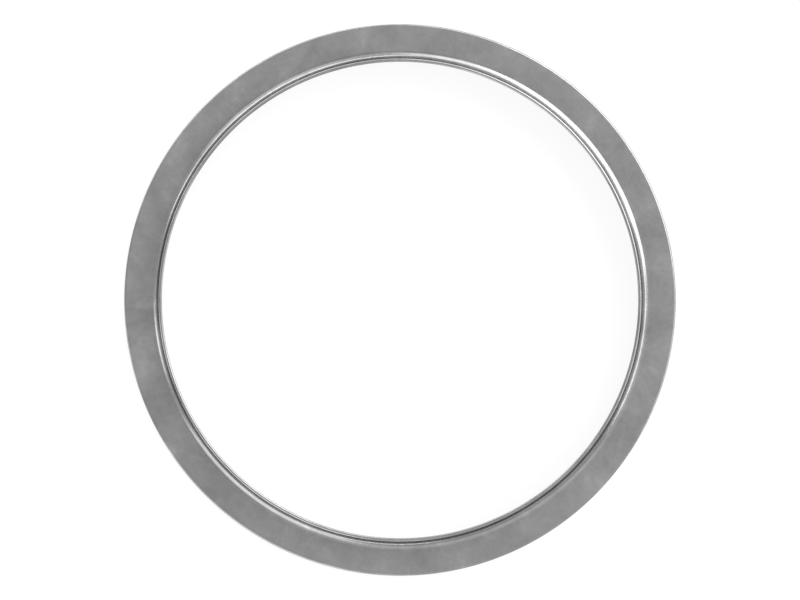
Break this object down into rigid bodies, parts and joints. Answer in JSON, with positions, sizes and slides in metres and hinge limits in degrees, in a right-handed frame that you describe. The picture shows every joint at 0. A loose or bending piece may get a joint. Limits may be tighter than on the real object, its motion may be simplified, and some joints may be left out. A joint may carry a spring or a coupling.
{
  "type": "crankshaft seal ring",
  "caption": "One-piece pressed-steel seal ring with a flat outer flange that bends up through a quarter turn into a short collar with a rounded rim around a large round bore.",
  "frame": {"origin": "on the ring's axis, in the plane of the flange's underside", "axes": "+Z along the ring's axis, from the flange's underside towards the collar's rim"},
  "size_m": [0.11, 0.11, 0.007],
  "materials": {
    "pressed_steel": "bare satin steel, faintly clouded on the flat face, brighter where the sheet is bent and rounded"
  },
  "bodies": {
    "root": {"seal_ring": "pressed_steel"}
  },
  "joints": []
}
